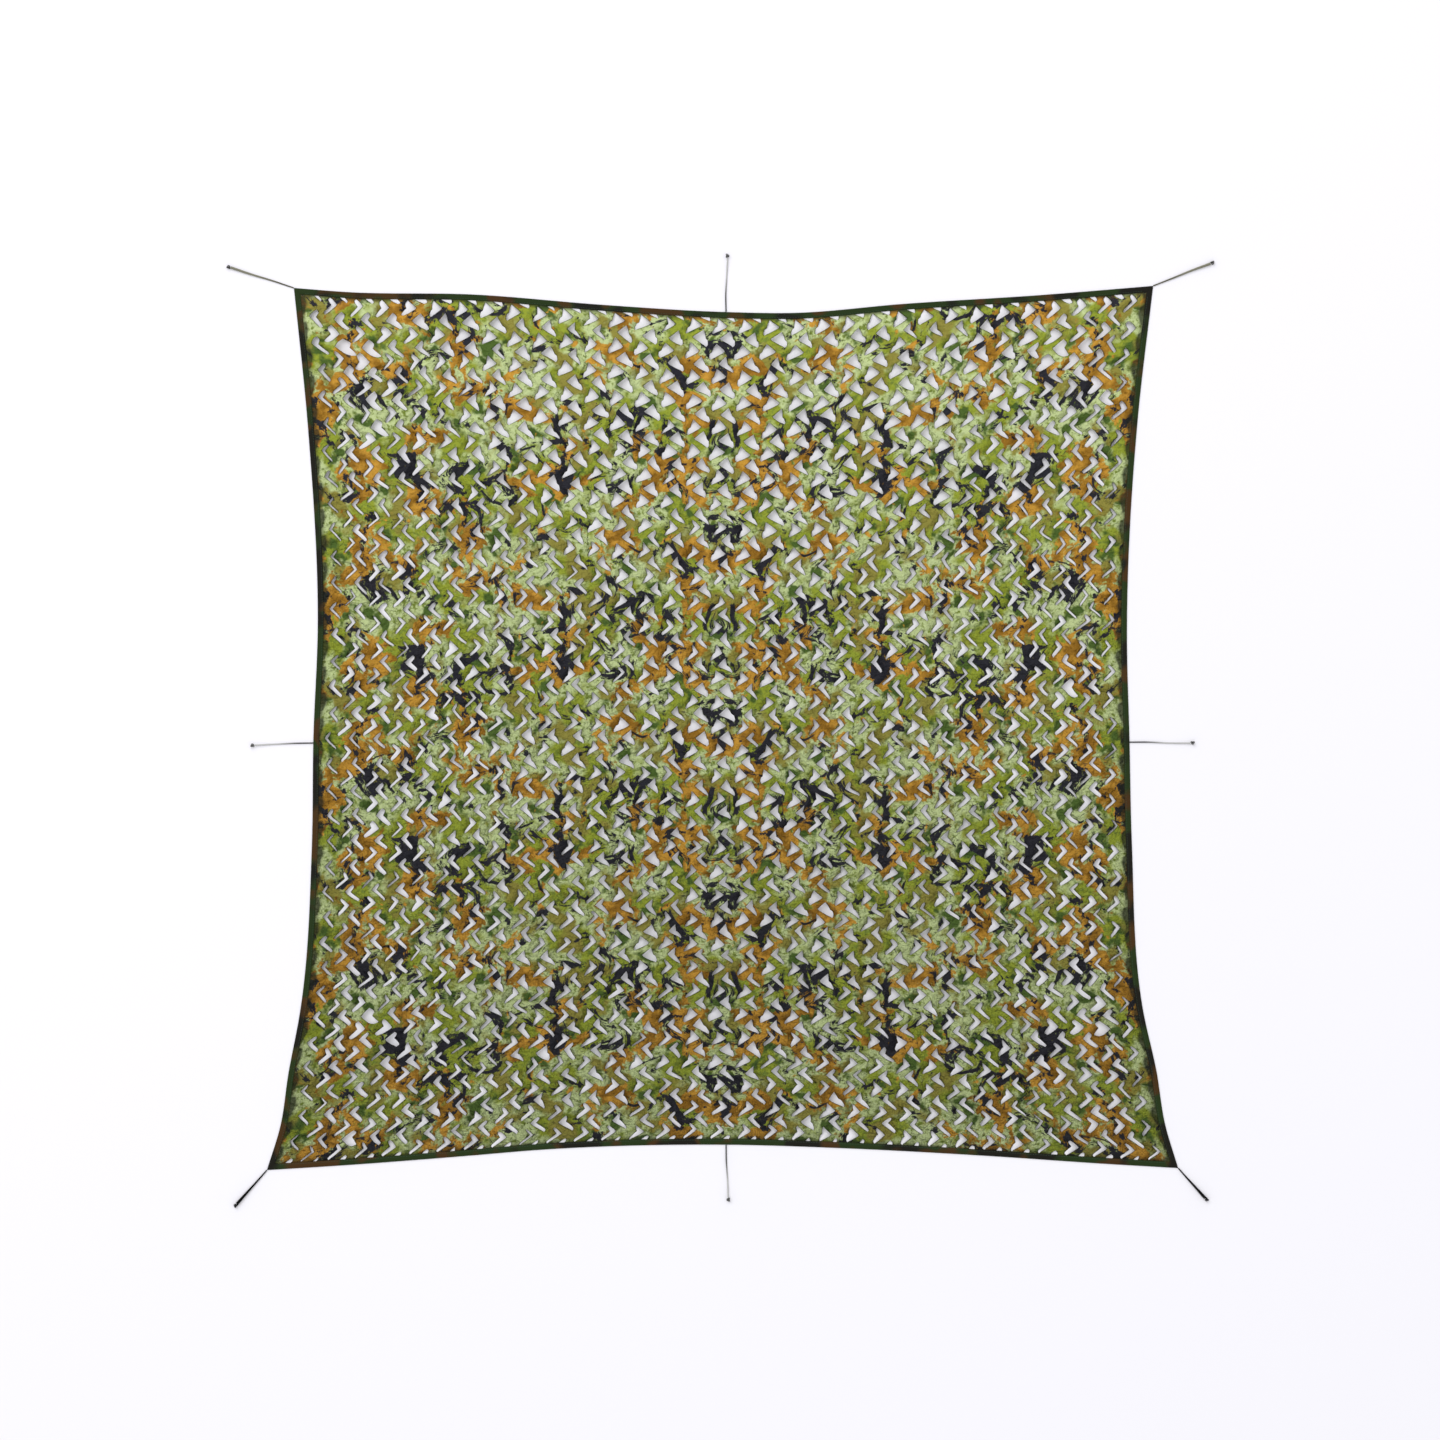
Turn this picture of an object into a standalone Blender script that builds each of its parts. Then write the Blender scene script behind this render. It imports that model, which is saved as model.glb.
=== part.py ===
"""A camouflage net about 3 m square: leaf-cut cloth, a bound edge and eight knotted tie cords.

Metres, +Z up, +Y towards the net's top edge. The net lies spread out, face up, on a surface at z = 0.
Its origin is the middle of the outline, on that surface. The leaf cuts are not modelled here.
"""

import math

import bmesh
import bpy
import numpy as np
from mathutils import Vector

MM = 0.001

# The pulled-out corners of the net, x and y.
CORNERS = {
    "bottom_left": (-1.549, -1.503),
    "bottom_right": (1.549, -1.496),
    "top_left": (-1.457, 1.496),
    "top_right": (1.464, 1.503),
}

# Each edge: first corner, last corner, and which side of that direction the cloth is on (+1 is left).
EDGES = {
    "bottom": ("bottom_left", "bottom_right", 1),
    "top": ("top_left", "top_right", -1),
    "left": ("bottom_left", "top_left", -1),
    "right": ("bottom_right", "top_right", 1),
}

# How far each edge is drawn in between its ties: share of the way along, millimetres drawn in.
DRAWN_IN = {
    "bottom": (
        (0.0, 0), (0.09, 17), (0.22, 47), (0.30, 67), (0.50, 83),
        (0.64, 69), (0.79, 43), (0.92, 15), (1.0, 0),
    ),
    "top": (
        (0.0, 0), (0.06, 14), (0.21, 24), (0.36, 60), (0.50, 85),
        (0.58, 89), (0.71, 59), (0.87, 30), (1.0, 0),
    ),
    "left": (
        (0.0, 0), (0.05, 41), (0.11, 63), (0.18, 96), (0.37, 119),
        (0.49, 113), (0.62, 116), (0.84, 63), (1.0, 0),
    ),
    "right": (
        (0.0, 0), (0.05, 40), (0.11, 64), (0.18, 104), (0.37, 126),
        (0.49, 124), (0.60, 123), (0.85, 65), (1.0, 0),
    ),
}

# The cloth and its binding: a tape folded round the cloth's edge, 0.3 mm clear of it.
CLOTH_THICK = 1.2 * MM
TAPE_THICK = 1.0 * MM
TAPE_WIDTH = 20 * MM
CLEAR = 0.3 * MM
TAPE_HEIGHT = 2 * TAPE_THICK + 2 * CLEAR + CLOTH_THICK
EDGE_HOLD = TAPE_THICK + CLEAR  # height and depth at which the binding holds the cloth's edge
HEM_DEPTH = 26 * MM  # the cloth stays level this far in, just past the tape
MITRE_SHIFT = 0.25 * MM  # each tape's end stands this far back from the corner

# The cloth's grid: closer together at the edges, where the gathers are.
COLUMNS = 40
ROWS = 44
CROWDING = 0.45

# Gathers where the binding is shorter than the cloth: edge, how many, height, how far they reach in.
GATHERS = (
    # edge, count, height, reach
    ("left", 11, 13 * MM, 0.085),
    ("right", 11, 13 * MM, 0.085),
    ("bottom", 8, 8 * MM, 0.065),
    ("top", 8, 8 * MM, 0.065),
)
GATHER_WOBBLE = 0.22
MEAN_WIDTH = 2.85
MEAN_HEIGHT = 2.90

# Folds that run in from the ties: start x, start y, heading in degrees, length, half width, height.
PULL_FOLDS = (
    (-1.49, -1.44, 44, 0.90, 0.055, 17 * MM),
    (1.49, -1.44, 136, 0.85, 0.055, 16 * MM),
    (-1.41, 1.44, -46, 0.80, 0.055, 15 * MM),
    (1.41, 1.44, -134, 0.86, 0.055, 17 * MM),
    (-1.38, -0.05, 3, 0.62, 0.060, 12 * MM),
    (1.37, -0.05, 178, 0.66, 0.060, 12 * MM),
    (0.01, 1.40, -92, 0.55, 0.060, 11 * MM),
    (0.01, -1.40, 88, 0.58, 0.060, 11 * MM),
)

# Soft swells where the cloth lies slack: middle x, middle y, heading, half length, half width, height.
SWELLS = (
    (-0.72, 0.62, 72, 0.34, 0.15, 9 * MM),
    (0.66, 0.78, 104, 0.30, 0.14, 8 * MM),
    (-0.62, -0.70, 116, 0.33, 0.15, 9 * MM),
    (0.78, -0.52, 64, 0.36, 0.15, 10 * MM),
    (0.10, -0.78, 8, 0.30, 0.13, 7 * MM),
    (-0.16, 0.86, 170, 0.28, 0.13, 7 * MM),
)
SETTLE = 1.5 * MM  # lower than this, the cloth lies flat on the surface

# The tie cords: route points x, y, z from the net outwards, and cord diameter. Each lies on the surface
# and rises to the middle of its end knot.
CORDS = {
    "top_left": (
        ((-1.4574, 1.4961, 0.0024), (-1.532, 1.521, 0.0024), (-1.605, 1.543, 0.0024), (-1.671, 1.565, 0.0055)),
        4.6 * MM,
    ),
    "top_right": (
        ((1.4644, 1.5032, 0.0024), (1.530, 1.529, 0.0024), (1.597, 1.556, 0.0024), (1.658, 1.578, 0.0055)),
        4.6 * MM,
    ),
    "bottom_right": (
        ((1.5493, -1.4963, 0.0027), (1.580, -1.531, 0.0027), (1.611, -1.565, 0.0027), (1.640, -1.597, 0.0055)),
        5.2 * MM,
    ),
    "bottom_left": (
        ((-1.5493, -1.5033, 0.0027), (-1.584, -1.543, 0.0027), (-1.618, -1.581, 0.0027), (-1.650, -1.617, 0.0055)),
        5.2 * MM,
    ),
    "top_middle": (
        ((0.012, 1.4147, 0.0024), (0.011, 1.472, 0.0024), (0.014, 1.533, 0.0024), (0.017, 1.597, 0.0055)),
        4.6 * MM,
    ),
    "left_middle": (
        ((-1.3914, -0.051, 0.0024), (-1.455, -0.052, 0.0024), (-1.523, -0.055, 0.0024), (-1.590, -0.058, 0.0055)),
        4.6 * MM,
    ),
    "right_middle": (
        ((1.3841, -0.048, 0.0024), (1.448, -0.048, 0.0024), (1.518, -0.051, 0.0024), (1.590, -0.051, 0.0055)),
        4.6 * MM,
    ),
    "bottom_middle": (
        ((0.012, -1.4171, 0.0024), (0.013, -1.476, 0.0024), (0.017, -1.534, 0.0024), (0.019, -1.595, 0.0055)),
        4.6 * MM,
    ),
}
POINTS_PER_DIAMETER = 1 / 3
CORD_BEVEL_RESOLUTION = 2
KNOT_LENGTH = 15 * MM
KNOT_WIDTH = 12 * MM
KNOT_MIDDLE = 5.5 * MM  # its height: less than half its width, so the knot has a small flat underneath
KNOT_LUMP = 0.08
KNOT_SEGMENTS = 10
KNOT_RINGS = 7

# Material: colour (linear), roughness.
MATERIALS = {
    "net_fabric": ((0.22, 0.32, 0.08), 0.75),
    "binding_tape": ((0.04, 0.08, 0.03), 0.70),
    "cord_olive": ((0.30, 0.30, 0.19), 0.65),
    "cord_grey": ((0.36, 0.36, 0.34), 0.65),
    "cord_black": ((0.02, 0.02, 0.02), 0.60),
}
CORD_MATERIAL = {
    "top_left": "cord_olive",
    "top_right": "cord_olive",
    "bottom_right": "cord_black",
    "bottom_left": "cord_black",
    "top_middle": "cord_grey",
    "left_middle": "cord_grey",
    "right_middle": "cord_grey",
    "bottom_middle": "cord_grey",
}


# ---------------------------------------------------------------- scene

def clear_scene():
    for old in list(bpy.data.objects):
        bpy.data.objects.remove(old, do_unlink=True)


def make_material(name):
    colour, roughness = MATERIALS[name]
    material = bpy.data.materials.new(name)
    material.use_nodes = True
    shader = material.node_tree.nodes["Principled BSDF"]
    shader.inputs["Base Color"].default_value = (*colour, 1.0)
    shader.inputs["Roughness"].default_value = roughness
    shader.inputs["Metallic"].default_value = 0.0
    material.diffuse_color = (*colour, 1.0)
    return material


def add_object(name, data, material, parent, collection):
    made = bpy.data.objects.new(name, data)
    data.materials.append(material)
    collection.objects.link(made)
    made.parent = parent
    return made


# ---------------------------------------------------------------- outline

def smooth(rows, at):
    """The second column of the rows at a place in the first, on a smooth curve through them."""
    x, y = np.array(rows, float).T
    slope = np.gradient(y, x)
    i = int(np.clip(np.searchsorted(x, at) - 1, 0, len(x) - 2))
    step = x[i + 1] - x[i]
    t = (at - x[i]) / step
    rise = y[i] * (1 + 2 * t) + slope[i] * step * t
    fall = y[i + 1] * (3 - 2 * t) - slope[i + 1] * step * (1 - t)
    return rise * (1 - t) ** 2 + fall * t**2


def outline(edge, share):
    """A point on one edge of the net, share from 0 to 1 between its corners."""
    first, last, side = EDGES[edge]
    start, end = Vector(CORNERS[first]), Vector(CORNERS[last])
    chord = end - start
    inward = Vector((-chord.y, chord.x)).normalized() * side
    return start + chord * share + inward * smooth(DRAWN_IN[edge], share) * MM


def heading(edge, share, step=0.004):
    """The direction in which an edge runs at a share of its length."""
    before, after = max(0.0, share - step), min(1.0, share + step)
    return (outline(edge, after) - outline(edge, before)).normalized()


def half_corner(edge, at_end):
    """Half the angle of the cloth at an edge's first or last corner."""
    corner = EDGES[edge][1 if at_end else 0]
    other = next(e for e in EDGES if e != edge and corner in EDGES[e][:2])
    other_at_end = EDGES[other][1] == corner
    mine = heading(edge, float(at_end)) * (-1 if at_end else 1)
    its = heading(other, float(other_at_end)) * (-1 if other_at_end else 1)
    return mine.angle(its) / 2


HALF_CORNERS = {edge: (half_corner(edge, False), half_corner(edge, True)) for edge in EDGES}


def inside(edge, share, depth, along):
    """A point a depth in from an edge. At the corners it also moves along the edge, as along says:
    with along equal to depth, the two edges that meet at a corner give the same mitred point."""
    run = heading(edge, share)
    inward = Vector((-run.y, run.x)) * EDGES[edge][2]
    first, last = HALF_CORNERS[edge]
    shift = (1 - share) / math.tan(first) - share / math.tan(last)
    return outline(edge, share) + inward * depth + run * along * shift


def spaced(count):
    """Shares from 0 to 1, closer together near both ends."""
    even = np.linspace(0, 1, count)
    return even - CROWDING * np.sin(2 * math.pi * even) / (2 * math.pi)


# ---------------------------------------------------------------- cloth

def gather_height(across, up):
    """How high the gathers along the edges lift the cloth, from its own shares across and up."""
    away = {
        "left": across * MEAN_WIDTH,
        "right": (1 - across) * MEAN_WIDTH,
        "bottom": up * MEAN_HEIGHT,
        "top": (1 - up) * MEAN_HEIGHT,
    }
    heights = []
    for number, (edge, count, high, reach) in enumerate(GATHERS):
        share = up if edge in ("left", "right") else across
        wobble = GATHER_WOBBLE * math.sin(2 * math.pi * (2.3 * share + 0.31 * number))
        wave = 0.5 - 0.5 * math.cos(2 * math.pi * (count * share + wobble))
        near = away[edge] / reach
        heights.append(high * wave * near * math.exp(1 - near))
    return math.hypot(*heights)


def pull_fold_height(x, y):
    """How high the folds that run in from the ties lift the cloth."""
    total = 0.0
    for start_x, start_y, degrees, length, half_width, high in PULL_FOLDS:
        run = Vector((math.cos(math.radians(degrees)), math.sin(math.radians(degrees))))
        offset = Vector((x - start_x, y - start_y))
        along = offset.dot(run) / length
        if 0 < along < 1:
            spread = half_width * (0.7 + 0.8 * along)
            across = offset.cross(run) / spread
            total += high * math.sin(math.pi * along**0.6) * math.exp(-across * across)
    return total


def swell_height(x, y):
    """How high the slack swells lift the cloth."""
    total = 0.0
    for middle_x, middle_y, degrees, half_length, half_width, high in SWELLS:
        run = Vector((math.cos(math.radians(degrees)), math.sin(math.radians(degrees))))
        offset = Vector((x - middle_x, y - middle_y))
        along = offset.dot(run) / half_length
        across = offset.cross(run) / half_width
        total += high * math.exp(-along * along - across * across)
    return total


def cloth_point(across, up):
    """The underside of the cloth inside its hem: a patch stretched between the four hem lines."""
    bottom, top, left, right = (
        inside(edge, across if edge in ("bottom", "top") else up, HEM_DEPTH, HEM_DEPTH)
        for edge in ("bottom", "top", "left", "right")
    )
    low_left, low_right = (inside("bottom", share, HEM_DEPTH, HEM_DEPTH) for share in (0, 1))
    high_left, high_right = (inside("top", share, HEM_DEPTH, HEM_DEPTH) for share in (0, 1))
    flat = bottom * (1 - up) + top * up + left * (1 - across) + right * across
    flat -= low_left * (1 - across) * (1 - up) + low_right * across * (1 - up)
    flat -= high_left * (1 - across) * up + high_right * across * up
    lift = math.hypot(gather_height(across, up), pull_fold_height(*flat), swell_height(*flat)) - SETTLE
    return Vector((*flat, max(0.0, lift)))


def hem_point(column, row, across, up):
    """A point on the cloth's own edge, inside the binding, or on the level line just past it."""
    at_side = column in (0, COLUMNS)
    at_end = row in (0, ROWS)
    if at_side or (column in (1, COLUMNS - 1) and not at_end):
        edge, share = ("left" if column <= 1 else "right"), up
    else:
        edge, share = ("bottom" if row <= 1 else "top"), across
    depth = EDGE_HOLD if at_side or at_end else HEM_DEPTH
    along = EDGE_HOLD if at_side and at_end else HEM_DEPTH
    return Vector((*inside(edge, share, depth, along), EDGE_HOLD))


def make_cloth(material, parent, collection):
    across = np.concatenate([[0], spaced(COLUMNS - 1), [1]])
    up = np.concatenate([[0], spaced(ROWS - 1), [1]])
    bm = bmesh.new()
    bmesh.ops.create_grid(bm, x_segments=COLUMNS, y_segments=ROWS, size=0.5)
    for vertex in bm.verts:
        column = round((vertex.co.x + 0.5) * COLUMNS)
        row = round((vertex.co.y + 0.5) * ROWS)
        if column in (0, 1, COLUMNS - 1, COLUMNS) or row in (0, 1, ROWS - 1, ROWS):
            vertex.co = hem_point(column, row, across[column], up[row])
        else:
            vertex.co = cloth_point(across[column], up[row])
    mesh = bpy.data.meshes.new("net_cloth")
    bm.to_mesh(mesh)
    bm.free()
    mesh.shade_smooth()
    cloth = add_object("net_cloth", mesh, material, parent, collection)
    shell = cloth.modifiers.new("thickness", "SOLIDIFY")
    shell.thickness = CLOTH_THICK
    shell.offset = 1.0
    return cloth


# ---------------------------------------------------------------- binding

def folded_section():
    """The tape's section, folded round the cloth's edge: depth in from the outline, and height."""
    deep, thick, high = TAPE_WIDTH, TAPE_THICK, TAPE_HEIGHT
    lower = ((0, 0), (deep, 0), (deep, thick), (thick, thick))
    upper = ((thick, high - thick), (deep, high - thick), (deep, high), (0, high))
    return lower + upper


def loft(bm, sections):
    """A closed solid through sections that each have the same number of points."""
    rings = [[bm.verts.new(point) for point in section] for section in sections]
    for ring, following in zip(rings, rings[1:]):
        for i in range(len(ring)):
            j = (i + 1) % len(ring)
            bm.faces.new((ring[i], ring[j], following[j], following[i]))
    bm.faces.new(rings[0])
    bm.faces.new(rings[-1])
    bmesh.ops.recalc_face_normals(bm, faces=bm.faces)


def make_binding(edge, material, parent, collection):
    """One length of tape, folded over an edge of the cloth, with mitred ends."""
    shares = spaced((COLUMNS if edge in ("bottom", "top") else ROWS) - 1)
    stations = [(0.0, True), *((share, False) for share in shares), (1.0, True)]
    sections = []
    for share, mitred in stations:
        back_off = heading(edge, share) * MITRE_SHIFT * (1 - 2 * share) if mitred else Vector((0, 0))
        sections.append([
            (*(inside(edge, share, depth, depth if mitred else HEM_DEPTH) + back_off), height)
            for depth, height in folded_section()
        ])
    bm = bmesh.new()
    loft(bm, sections)
    mesh = bpy.data.meshes.new(f"binding_{edge}")
    bm.to_mesh(mesh)
    bm.free()
    return add_object(f"binding_{edge}", mesh, material, parent, collection)


# ---------------------------------------------------------------- ties

def cord_points(route, diameter):
    """Points two or three diameters apart on a smooth curve through the route."""
    places = np.array(route)
    along = np.concatenate([[0], np.cumsum(np.linalg.norm(np.diff(places, axis=0), axis=1))])
    count = max(6, math.ceil(along[-1] * POINTS_PER_DIAMETER / diameter))
    return [
        Vector([smooth(np.column_stack([along, places[:, axis]]), at) for axis in range(3)])
        for at in np.linspace(0, along[-1], count)
    ]


def make_cord(tie, material, parent, collection):
    route, diameter = CORDS[tie]
    points = cord_points(route, diameter)
    curve = bpy.data.curves.new(f"tie_cord_{tie}", "CURVE")
    curve.dimensions = "3D"
    curve.bevel_depth = diameter / 2
    curve.bevel_resolution = CORD_BEVEL_RESOLUTION
    curve.use_fill_caps = True
    spline = curve.splines.new("POLY")
    spline.points.add(len(points) - 1)
    for place, point in zip(spline.points, points):
        place.co = (*point, 1.0)
    spline.use_smooth = True
    return add_object(f"tie_cord_{tie}", curve, material, parent, collection)


def make_knot(tie, material, parent, collection):
    """The stopper knot on a cord's free end: an egg shape with a small flat where it lies."""
    route, diameter = CORDS[tie]
    points = cord_points(route, diameter)
    run = (points[-1] - points[-2]).to_2d().normalized()
    middle = Vector((*(points[-1].to_2d() + run * (KNOT_LENGTH / 2 + CLEAR)), KNOT_MIDDLE))
    bm = bmesh.new()
    bmesh.ops.create_uvsphere(bm, u_segments=KNOT_SEGMENTS, v_segments=KNOT_RINGS, radius=0.5)
    for vertex in bm.verts:
        turn = math.atan2(vertex.co.y, vertex.co.x)
        width = KNOT_WIDTH * (1 + KNOT_LUMP * math.cos(3 * turn + 9 * vertex.co.z))
        low = max(vertex.co.y * width, -KNOT_MIDDLE)
        vertex.co = (vertex.co.z * KNOT_LENGTH, vertex.co.x * width, low)
    bmesh.ops.recalc_face_normals(bm, faces=bm.faces)
    mesh = bpy.data.meshes.new(f"end_knot_{tie}")
    bm.to_mesh(mesh)
    bm.free()
    mesh.shade_smooth()
    knot = add_object(f"end_knot_{tie}", mesh, material, parent, collection)
    knot.location = middle
    knot.rotation_euler.z = math.atan2(run.y, run.x)
    return knot


# ---------------------------------------------------------------- assembly

def main():
    clear_scene()
    collection = bpy.data.collections.new("camouflage_net")
    bpy.context.scene.collection.children.link(collection)
    centre = bpy.data.objects.new("net_centre", None)
    collection.objects.link(centre)
    materials = {name: make_material(name) for name in MATERIALS}
    make_cloth(materials["net_fabric"], centre, collection)
    for edge in EDGES:
        make_binding(edge, materials["binding_tape"], centre, collection)
    for tie in CORDS:
        material = materials[CORD_MATERIAL[tie]]
        make_cord(tie, material, centre, collection)
        make_knot(tie, material, centre, collection)


main()
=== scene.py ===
# %% [markdown]
# # A leaf-cut camouflage net, spread out and seen from above
#
# The real net is a square of printed polyester Oxford cloth, about 3 m a side. A die cuts rows of
# crooked slits into it, and when the cloth is pulled wide each slit opens into a leaf-shaped hole.
# A tape is folded round the edge and sewn down, and eight cords with knotted ends tie it out.
#
# The solids hold its outline, its folds and its cords. This script dresses them: it cuts and opens the
# cloth, prints it, folds and stitches the tape, and twists the cords.

# %% Load the frame
import math

import bmesh
import bpy
import numpy as np
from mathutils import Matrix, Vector
from mathutils.bvhtree import BVHTree


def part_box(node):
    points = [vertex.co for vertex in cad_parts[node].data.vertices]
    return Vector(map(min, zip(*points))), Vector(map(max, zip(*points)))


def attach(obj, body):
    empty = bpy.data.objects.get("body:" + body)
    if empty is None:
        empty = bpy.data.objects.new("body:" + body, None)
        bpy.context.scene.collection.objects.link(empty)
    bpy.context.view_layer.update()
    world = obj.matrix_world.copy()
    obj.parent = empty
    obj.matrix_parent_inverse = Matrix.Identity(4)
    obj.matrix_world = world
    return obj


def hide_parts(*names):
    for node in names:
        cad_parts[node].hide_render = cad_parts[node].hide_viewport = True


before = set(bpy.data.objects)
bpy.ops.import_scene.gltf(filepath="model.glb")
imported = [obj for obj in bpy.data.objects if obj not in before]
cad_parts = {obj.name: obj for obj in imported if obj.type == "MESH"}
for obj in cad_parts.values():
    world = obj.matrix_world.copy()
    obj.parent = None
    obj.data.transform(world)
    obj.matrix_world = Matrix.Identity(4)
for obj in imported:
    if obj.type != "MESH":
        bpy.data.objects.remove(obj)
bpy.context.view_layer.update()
MM = 0.001

# %% [markdown]
# ## The camera
#
# The net lies flat and is looked at from straight above, so the camera hangs over it and looks down.
# A long lens from far away keeps the four edges free of perspective. The view is 4.9 m wide.

# %% Camera
VIEW_WIDTH = 4.896
VIEW_MIDDLE = (-0.0085, 0.0272)
CAMERA_HEIGHT = 12.0

camera = bpy.data.objects.new("camera", bpy.data.cameras.new("camera"))
bpy.context.scene.collection.objects.link(camera)
bpy.context.scene.camera = camera
camera.location = (*VIEW_MIDDLE, CAMERA_HEIGHT)
camera.data.lens = camera.data.sensor_width * CAMERA_HEIGHT / VIEW_WIDTH
print("lens:", round(camera.data.lens, 1), "mm")

# %% [markdown]
# ## Helpers for materials
#
# Every finish below is made of nodes. One function turns a hex colour, as a paint chart gives it, into
# the linear numbers that the shader wants. Another adds a node together with its settings and links, so
# that a finish reads from top to bottom like a recipe.


# %% Colours and nodes
def colour(hex_code):
    """A linear colour from an sRGB hex code."""
    parts = [int(hex_code[i:i + 2], 16) / 255 for i in (1, 3, 5)]
    return (*(c / 12.92 if c <= 0.04045 else ((c + 0.055) / 1.055) ** 2.4 for c in parts), 1.0)


def add_node(material, kind, inputs=None, **settings):
    """Adds a node. inputs gives each socket a value, or another node's output to link to."""
    node = material.node_tree.nodes.new("ShaderNode" + kind)
    for name, value in settings.items():
        setattr(node, name, value)
    for socket, value in (inputs or {}).items():
        if isinstance(value, bpy.types.NodeSocket):
            material.node_tree.links.new(value, node.inputs[socket])
        else:
            node.inputs[socket].default_value = value
    return node


def new_material(name, **sockets):
    """A material, and its shader with the sockets set that are the same all over."""
    material = bpy.data.materials.new(name)
    material.use_nodes = True
    shader = material.node_tree.nodes["Principled BSDF"]
    for socket, value in sockets.items():
        shader.inputs[socket.replace("_", " ")].default_value = value
    return material, shader


def link(material, output, socket):
    material.node_tree.links.new(output, socket)


def math_node(material, operation, *values):
    return add_node(material, "Math", dict(enumerate(values)), operation=operation).outputs[0]


def finish_piece(piece, material, slot, *nodes):
    """Gives a finished piece its material and its body, and hides the solids it stands for; slot is unused.
    """
    piece.data.materials.clear()
    piece.data.materials.append(material)
    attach(piece, "root")
    if nodes:
        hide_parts(*nodes)


def new_piece(name, vertices, faces):
    """An object at the origin with a mesh from arrays of points and faces."""
    mesh = bpy.data.meshes.new(name)
    mesh.from_pydata(vertices, [], faces)
    piece = bpy.data.objects.new(name, mesh)
    bpy.context.scene.collection.objects.link(piece)
    return piece


def only(piece):
    """Deselects everything and makes one piece the active one, as the operators want it."""
    bpy.ops.object.select_all(action="DESELECT")
    piece.select_set(True)
    bpy.context.view_layer.objects.active = piece


def face_outwards(piece):
    """Turns all faces of a closed piece outwards, and leaves it the active one."""
    only(piece)
    bpy.ops.object.mode_set(mode="EDIT")
    bpy.ops.mesh.select_all(action="SELECT")
    bpy.ops.mesh.normals_make_consistent(inside=False)
    bpy.ops.object.mode_set(mode="OBJECT")


def steps_along(points):
    """The distance from each point of a line to the next."""
    return np.linalg.norm(np.diff(points, axis=0), axis=1)


def axes_across(ahead):
    """The level and the upright unit vector square to each direction of a line."""
    ahead = ahead / np.linalg.norm(ahead, axis=1)[:, None]
    side = np.cross(ahead, (0, 0, 1))
    side /= np.linalg.norm(side, axis=1)[:, None]
    return side, np.cross(side, ahead)


def ring_faces(rings, sides, closed=False):
    """The faces between rings of points, and if they close a loop, those from the last to the first."""
    ring = np.arange(rings if closed else rings - 1)[:, None] * sides
    after = (ring + sides) % (rings * sides)
    here, beside = np.arange(sides), (np.arange(sides) + 1) % sides
    quads = np.stack([ring + here, ring + beside, after + beside, after + here], -1)
    return quads.reshape(-1, 4).tolist()


# %% [markdown]
# ## The tie cords
#
# Eight cords lie straight out from the net: one from each corner and one from the middle of each edge.
# They are braided polypropylene cords. The corner cords thicken towards the knot, whose pull packs the
# braid there.
#
# A bevelled curve would do for a smooth cord. A braid shows, so each cord is a tube made ring by ring
# along the route, whose radius swells and sinks in the crossed pattern of the strands. Sun and handling
# fade a cord from the net outwards, so each keeps its distance from the net as an attribute, "along".

# %% Cord routes
# Height of a cord's middle above the floor, and its diameter at the net and at the knot.
CORD_KINDS = {
    "cord_olive": (0.0024, 0.0042, 0.0092),
    "cord_black": (0.0027, 0.0044, 0.0116),
    "cord_grey": (0.0024, 0.0044, 0.0050),
}
KNOT_END_HEIGHT = 0.0055
# The kind of each cord, and its route points x and y from the net outwards.
CORDS = {
    "top_left": ("cord_olive", ((-1.4574, 1.4961), (-1.532, 1.521), (-1.605, 1.543), (-1.671, 1.565))),
    "top_right": ("cord_olive", ((1.4644, 1.5032), (1.530, 1.529), (1.597, 1.556), (1.658, 1.578))),
    "bottom_right": ("cord_black", ((1.5493, -1.4963), (1.580, -1.531), (1.611, -1.565), (1.640, -1.597))),
    "bottom_left": ("cord_black", ((-1.5493, -1.5033), (-1.584, -1.543), (-1.618, -1.581), (-1.65, -1.617))),
    "top_middle": ("cord_grey", ((0.012, 1.4147), (0.011, 1.472), (0.014, 1.533), (0.017, 1.597))),
    "left_middle": ("cord_grey", ((-1.3914, -0.051), (-1.455, -0.052), (-1.523, -0.055), (-1.590, -0.058))),
    "right_middle": ("cord_grey", ((1.3841, -0.048), (1.448, -0.048), (1.518, -0.051), (1.590, -0.051))),
    "bottom_middle": ("cord_grey", ((0.012, -1.4171), (0.013, -1.476), (0.017, -1.534), (0.019, -1.595))),
}


def smooth(rows, at):
    """The second column of the rows at places in the first, on a smooth curve through them."""
    x, y = np.array(rows, float).T
    slope = np.gradient(y, x)
    i = np.clip(np.searchsorted(x, at) - 1, 0, len(x) - 2)
    step = x[i + 1] - x[i]
    t = (at - x[i]) / step
    rise = y[i] * (1 + 2 * t) + slope[i] * step * t
    fall = y[i + 1] * (3 - 2 * t) - slope[i + 1] * step * (1 - t)
    return rise * (1 - t) ** 2 + fall * t**2


def route_line(route, step):
    """Points a step apart on a smooth curve through a route's points."""
    places = np.array(route)
    along = np.concatenate([[0], np.cumsum(steps_along(places))])
    at = np.linspace(0, along[-1], math.ceil(along[-1] / step) + 1)
    return np.column_stack([smooth(np.column_stack([along, places[:, k]]), at) for k in range(3)])


# %% Cord tubes
CORD_SIDES = 16
CORD_STEP = 0.0013
THICKENING = 1.25    # over 1, a cord thickens late, close to its knot
STRANDS = 4          # strands that cross a section each way, so the braid has twice as many
BRAID_PITCH = 0.022  # a strand goes once round in this length
BRAID_RELIEF = 0.07
CLEAR_OF_FLOOR = 0.0002


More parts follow.
